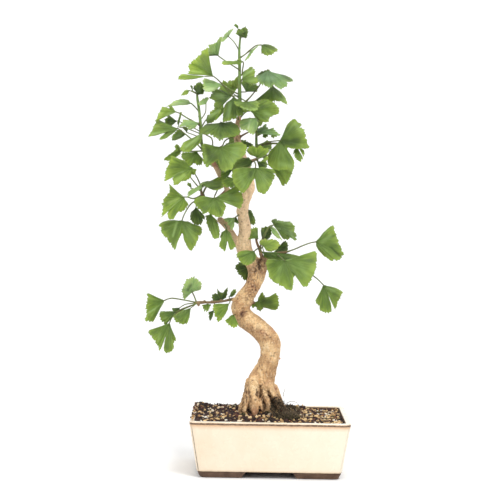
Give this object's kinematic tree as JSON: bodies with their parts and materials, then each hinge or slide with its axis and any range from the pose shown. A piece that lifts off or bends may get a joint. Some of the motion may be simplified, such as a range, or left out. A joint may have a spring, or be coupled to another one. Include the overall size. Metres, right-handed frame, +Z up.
{
  "type": "ginkgo bonsai",
  "caption": "Young ginkgo trained as a bonsai: a bare S-curved trunk with fan-shaped leaves on short twigs, planted in a low rectangular glazed pot with feet and drain holes.",
  "frame": {"origin": "on the surface that the pot stands on, under the centre of the whole object's bounding box", "axes": "+Z up, +X to the right along the pot's long side as seen from its front, +Y from the front to the back"},
  "size_m": [0.2606, 0.1496, 0.5631],
  "materials": {
    "glaze": "gloss",
    "screen": "matte",
    "soil": "matte",
    "moss": "matte",
    "bark": "matte",
    "shoot": "satin",
    "leaf": "satin"
  },
  "bodies": {
    "root": {"drain_screen_left": "screen", "drain_screen_right": "screen", "leaf_core_01": "leaf", "leaf_core_02": "leaf", "leaf_core_03": "leaf", "leaf_core_04": "leaf", "leaf_core_05": "leaf", "leaf_core_06": "leaf", "leaf_core_07": "leaf", "leaf_core_08": "leaf", "leaf_flank_01": "leaf", "leaf_flank_02": "leaf", "leaf_flank_03": "leaf", "leaf_flank_04": "leaf", "leaf_fork_01": "leaf", "leaf_fork_02": "leaf", "leaf_fork_03": "leaf", "leaf_fork_04": "leaf", "leaf_fork_05": "leaf", "leaf_fork_06": "leaf", "leaf_front_01": "leaf", "leaf_front_02": "leaf", "leaf_front_03": "leaf", "leaf_front_04": "leaf", "leaf_left_01": "leaf", "leaf_left_02": "leaf", "leaf_left_03": "leaf", "leaf_left_04": "leaf", "leaf_left_05": "leaf", "leaf_left_06": "leaf", "leaf_left_07": "leaf", "leaf_limb_01": "leaf", "leaf_limb_02": "leaf", "leaf_low_01": "leaf", "leaf_low_02": "leaf", "leaf_low_03": "leaf", "leaf_low_04": "leaf", "leaf_low_05": "leaf", "leaf_low_06": "leaf", "leaf_right_01": "leaf", "leaf_right_02": "leaf", "leaf_right_03": "leaf", "leaf_right_04": "leaf", "leaf_top_01": "leaf", "leaf_top_02": "leaf", "leaf_top_03": "leaf", "leaf_top_04": "leaf", "leaf_top_05": "leaf", "leaf_top_06": "leaf", "leaf_top_07": "leaf", "leaf_top_08": "leaf", "leaf_waist_01": "leaf", "leaf_waist_02": "leaf", "moss_patch": "moss", "pot": "glaze", "soil": "soil", "stem_leader": "shoot", "stem_left": "shoot", "stem_right": "shoot", "trunk": "bark"}
  },
  "joints": []
}
